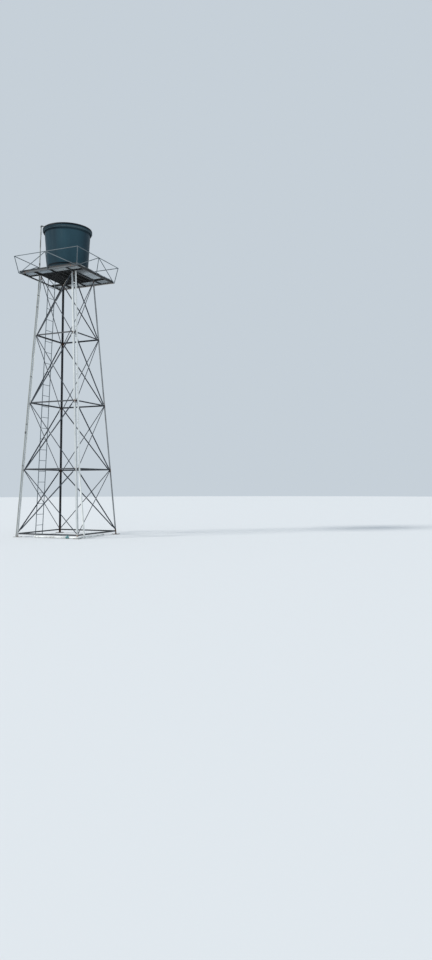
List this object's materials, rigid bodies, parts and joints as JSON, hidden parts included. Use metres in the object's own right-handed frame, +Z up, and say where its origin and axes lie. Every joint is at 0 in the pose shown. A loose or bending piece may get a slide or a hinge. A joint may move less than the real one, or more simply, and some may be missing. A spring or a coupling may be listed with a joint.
{
  "type": "water tower",
  "caption": "Splayed lattice tower of steel angles with a planked platform, leaning guard rail, ladder and pipes, carrying an open tapered plastic tank.",
  "frame": {"origin": "on the tower's axis at ground level, midway between the four foot plates", "axes": "+Z up the tower's axis; -Y is the front with the down pipe, +Y the back with the ladder, -X the left side"},
  "size_m": [2.264, 2.264, 9.194],
  "materials": {
    "leg_steel": "silver painted angle iron, weathered, rust at the welds and feet",
    "frame_steel": "weathered grey painted angle iron with rust at the ends",
    "brace_steel": "weathered grey painted thin angle iron",
    "platform_steel": "dark weathered steel sections",
    "planks": "bare grey weathered planks",
    "rail_steel": "thin dark grey painted bar",
    "tank_plastic": "dark blue green moulded plastic, satin, with dust and water streaks",
    "pipe_plastic": "off white pipe plastic, slightly dirty",
    "valve_plastic": "blue green moulded plastic"
  },
  "bodies": {
    "root": {"leg_front_left": "leg_steel", "leg_front_right": "leg_steel", "leg_back_right": "leg_steel", "leg_back_left": "leg_steel", "ring_base": "frame_steel", "ring_lower": "frame_steel", "ring_middle": "frame_steel", "ring_upper": "frame_steel", "brace_front_1": "brace_steel", "brace_front_2": "brace_steel", "brace_front_3": "brace_steel", "brace_front_4": "brace_steel", "brace_right_1": "brace_steel", "brace_right_2": "brace_steel", "brace_right_3": "brace_steel", "brace_right_4": "brace_steel", "brace_back_1": "brace_steel", "brace_back_2": "brace_steel", "brace_back_3": "brace_steel", "brace_back_4": "brace_steel", "brace_left_1": "brace_steel", "brace_left_2": "brace_steel", "brace_left_3": "brace_steel", "brace_left_4": "brace_steel", "main_beam_left": "platform_steel", "main_beam_right": "platform_steel", "edge_beam_left": "platform_steel", "edge_beam_right": "platform_steel", "edge_beam_front": "platform_steel", "edge_beam_back": "platform_steel", "joist_1": "platform_steel", "joist_2": "platform_steel", "joist_3": "platform_steel", "joist_4": "platform_steel", "joist_5": "platform_steel", "joist_6": "platform_steel", "joist_7": "platform_steel", "platform_tie": "brace_steel", "deck_left": "planks", "deck_right": "planks", "deck_front": "planks", "deck_centre": "planks", "guard_rail_front": "rail_steel", "guard_rail_right": "rail_steel", "guard_rail_back": "rail_steel", "guard_rail_left": "rail_steel", "ladder": "rail_steel", "tank_bottom": "tank_plastic", "tank_wall": "tank_plastic", "tank_rim": "tank_plastic", "fill_riser": "pipe_plastic", "down_pipe": "pipe_plastic", "header_front": "pipe_plastic", "header_left": "pipe_plastic", "valve_body": "valve_plastic", "valve_handle": "valve_plastic"}
  },
  "joints": []
}
